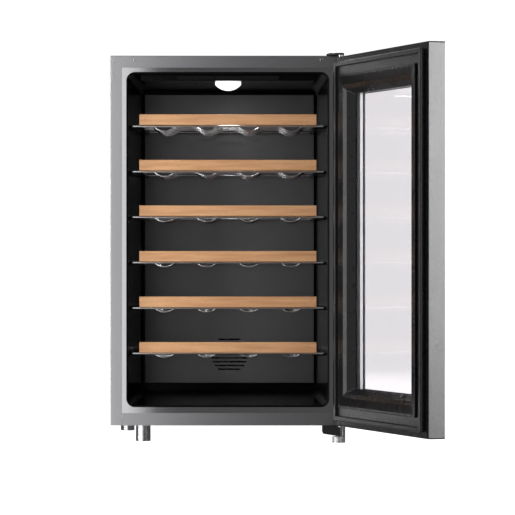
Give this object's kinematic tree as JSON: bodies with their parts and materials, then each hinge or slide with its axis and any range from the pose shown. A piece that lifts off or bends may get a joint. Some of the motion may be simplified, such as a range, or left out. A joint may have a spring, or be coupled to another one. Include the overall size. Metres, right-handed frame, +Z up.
{
  "type": "wine cooler",
  "caption": "Free-standing wine cooler with a hinged glass door standing open, wood-fronted wavy wire shelves that slide out, a lamp and controls in the roof, and a compressor at the back",
  "frame": {"origin": "middle of the cabinet's underside, halfway across and halfway between its front face and its rear edges; the feet reach below it", "axes": "+X to the right seen from the front, +Y from the front to the back, +Z up; the door stands open towards -Y"},
  "size_m": [0.6538, 0.9621, 0.7925],
  "materials": {
    "body_paint": "satin",
    "trim_steel": "satin",
    "galvanised": "satin",
    "black_liner": "gloss",
    "black_moulding": "satin",
    "foam": "matte",
    "back_steel": "satin",
    "aluminium": "satin",
    "display_black": "gloss",
    "lamp_white": "satin",
    "board_green": "satin",
    "chrome_wire": "polished",
    "beech": "satin",
    "black_steel": "satin",
    "black_rubber": "matte",
    "copper": "satin",
    "gasket_rubber": "satin",
    "pane_glass": "polished"
  },
  "bodies": {
    "cabinet": {"back_panel": "back_steel", "back_sheet": "galvanised", "base_plate": "galvanised", "bottom_rail": "body_paint", "cabinet_wrap": "body_paint", "compressor": "black_steel", "compressor_grommets": "black_rubber", "compressor_plate": "galvanised", "condenser": "black_steel", "control_board": "board_green", "control_housing": "black_liner", "display_window": "display_black", "drip_tray": "black_moulding", "evaporator": "aluminium", "fan_housing": "black_moulding", "filter_drier": "copper", "front_trim": "trim_steel", "hinge_hole_plugs": "black_moulding", "hinge_screws": "chrome_wire", "insulation": "foam", "lamp_board": "board_green", "lamp_lens": "lamp_white", "left_runners": "black_liner", "liner": "black_liner", "lower_hinge_bracket": "black_steel", "lower_hinge_collar": "chrome_wire", "machine_grille": "black_steel", "power_inlet": "black_moulding", "refrigerant_tubes": "copper", "right_runners": "black_liner", "terminal_cover": "black_moulding", "upper_hinge_pin": "chrome_wire", "upper_hinge_plate": "black_steel"},
    "door": {"door_frame": "trim_steel", "door_core": "black_moulding", "door_surround": "black_moulding", "door_gasket": "gasket_rubber", "outer_glass": "pane_glass", "inner_glass": "pane_glass", "glass_spacer": "black_moulding", "spacer_strip": "aluminium", "door_bottom_cap": "black_moulding", "door_top_cap": "black_moulding"},
    "fan": {"fan_rotor": "black_moulding"},
    "front_left_leg": {"front_left_leg": "chrome_wire"},
    "front_right_foot": {"front_right_foot": "chrome_wire"},
    "rear_left_foot": {"rear_left_foot": "chrome_wire"},
    "rear_right_foot": {"rear_right_foot": "chrome_wire"},
    "shelf_1": {"shelf_1_rack": "chrome_wire", "shelf_1_board": "beech"},
    "shelf_2": {"shelf_2_rack": "chrome_wire", "shelf_2_board": "beech"},
    "shelf_3": {"shelf_3_rack": "chrome_wire", "shelf_3_board": "beech"},
    "shelf_4": {"shelf_4_rack": "chrome_wire", "shelf_4_board": "beech"},
    "shelf_5": {"shelf_5_rack": "chrome_wire", "shelf_5_board": "beech"},
    "shelf_6": {"shelf_6_rack": "chrome_wire", "shelf_6_board": "beech"}
  },
  "joints": [
    {"name": "door_hinge", "type": "hinge", "parent": "cabinet", "child": "door", "pos_m": [0.229, -0.267, 0.3667], "axis": [0, 0, 1], "range_deg": [-109.5, 4.5]},
    {"name": "shelf_1_slide", "type": "slide", "parent": "cabinet", "child": "shelf_1", "axis": [0, -1, 0], "range_m": [0, 0.2]},
    {"name": "shelf_2_slide", "type": "slide", "parent": "cabinet", "child": "shelf_2", "axis": [0, -1, 0], "range_m": [0, 0.2]},
    {"name": "shelf_3_slide", "type": "slide", "parent": "cabinet", "child": "shelf_3", "axis": [0, -1, 0], "range_m": [0, 0.2]},
    {"name": "shelf_4_slide", "type": "slide", "parent": "cabinet", "child": "shelf_4", "axis": [0, -1, 0], "range_m": [0, 0.2]},
    {"name": "shelf_5_slide", "type": "slide", "parent": "cabinet", "child": "shelf_5", "axis": [0, -1, 0], "range_m": [0, 0.2]},
    {"name": "shelf_6_slide", "type": "slide", "parent": "cabinet", "child": "shelf_6", "axis": [0, -1, 0], "range_m": [0, 0.2]},
    {"name": "fan_spin", "type": "hinge", "parent": "cabinet", "child": "fan", "pos_m": [0, 0.097, 0.134], "axis": [0, 1, 0], "continuous": true},
    {"name": "front_left_leg_turn", "type": "hinge", "parent": "cabinet", "child": "front_left_leg", "pos_m": [-0.1735, -0.215, -0.0183], "axis": [0, 0, 1], "continuous": true},
    {"name": "front_right_foot_turn", "type": "hinge", "parent": "cabinet", "child": "front_right_foot", "pos_m": [0.225, -0.267, -0.0183], "axis": [0, 0, 1], "continuous": true},
    {"name": "rear_left_foot_turn", "type": "hinge", "parent": "cabinet", "child": "rear_left_foot", "pos_m": [-0.222, 0.166, -0.0183], "axis": [0, 0, 1], "continuous": true},
    {"name": "rear_right_foot_turn", "type": "hinge", "parent": "cabinet", "child": "rear_right_foot", "pos_m": [0.222, 0.166, -0.0183], "axis": [0, 0, 1], "continuous": true}
  ]
}
